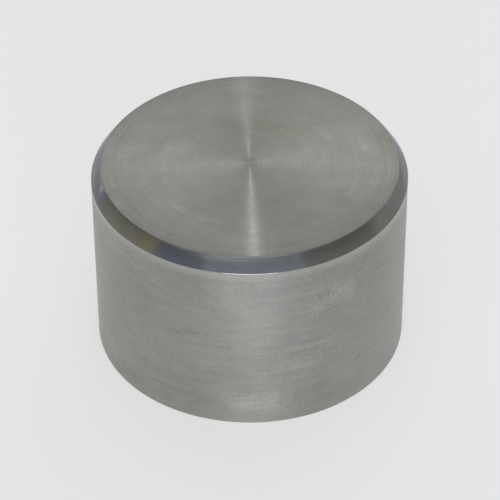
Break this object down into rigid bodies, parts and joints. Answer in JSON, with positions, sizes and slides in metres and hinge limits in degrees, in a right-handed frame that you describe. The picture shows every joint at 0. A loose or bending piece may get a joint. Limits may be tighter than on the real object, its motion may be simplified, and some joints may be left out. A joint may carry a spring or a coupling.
{
  "type": "threaded pipe cap",
  "caption": "Short round steel cap for a threaded pipe end, with a flat closed end, a bevelled rim and a plain turned outside.",
  "frame": {"origin": "centre of the open end face", "axes": "+Z along the axis towards the closed end; X and Y are arbitrary, as the outside is round"},
  "size_m": [0.092, 0.092, 0.06],
  "materials": {
    "steel": "fine turned, satin, with a smooth bright bevel"
  },
  "bodies": {
    "root": {"cap_body": "steel"}
  },
  "joints": []
}
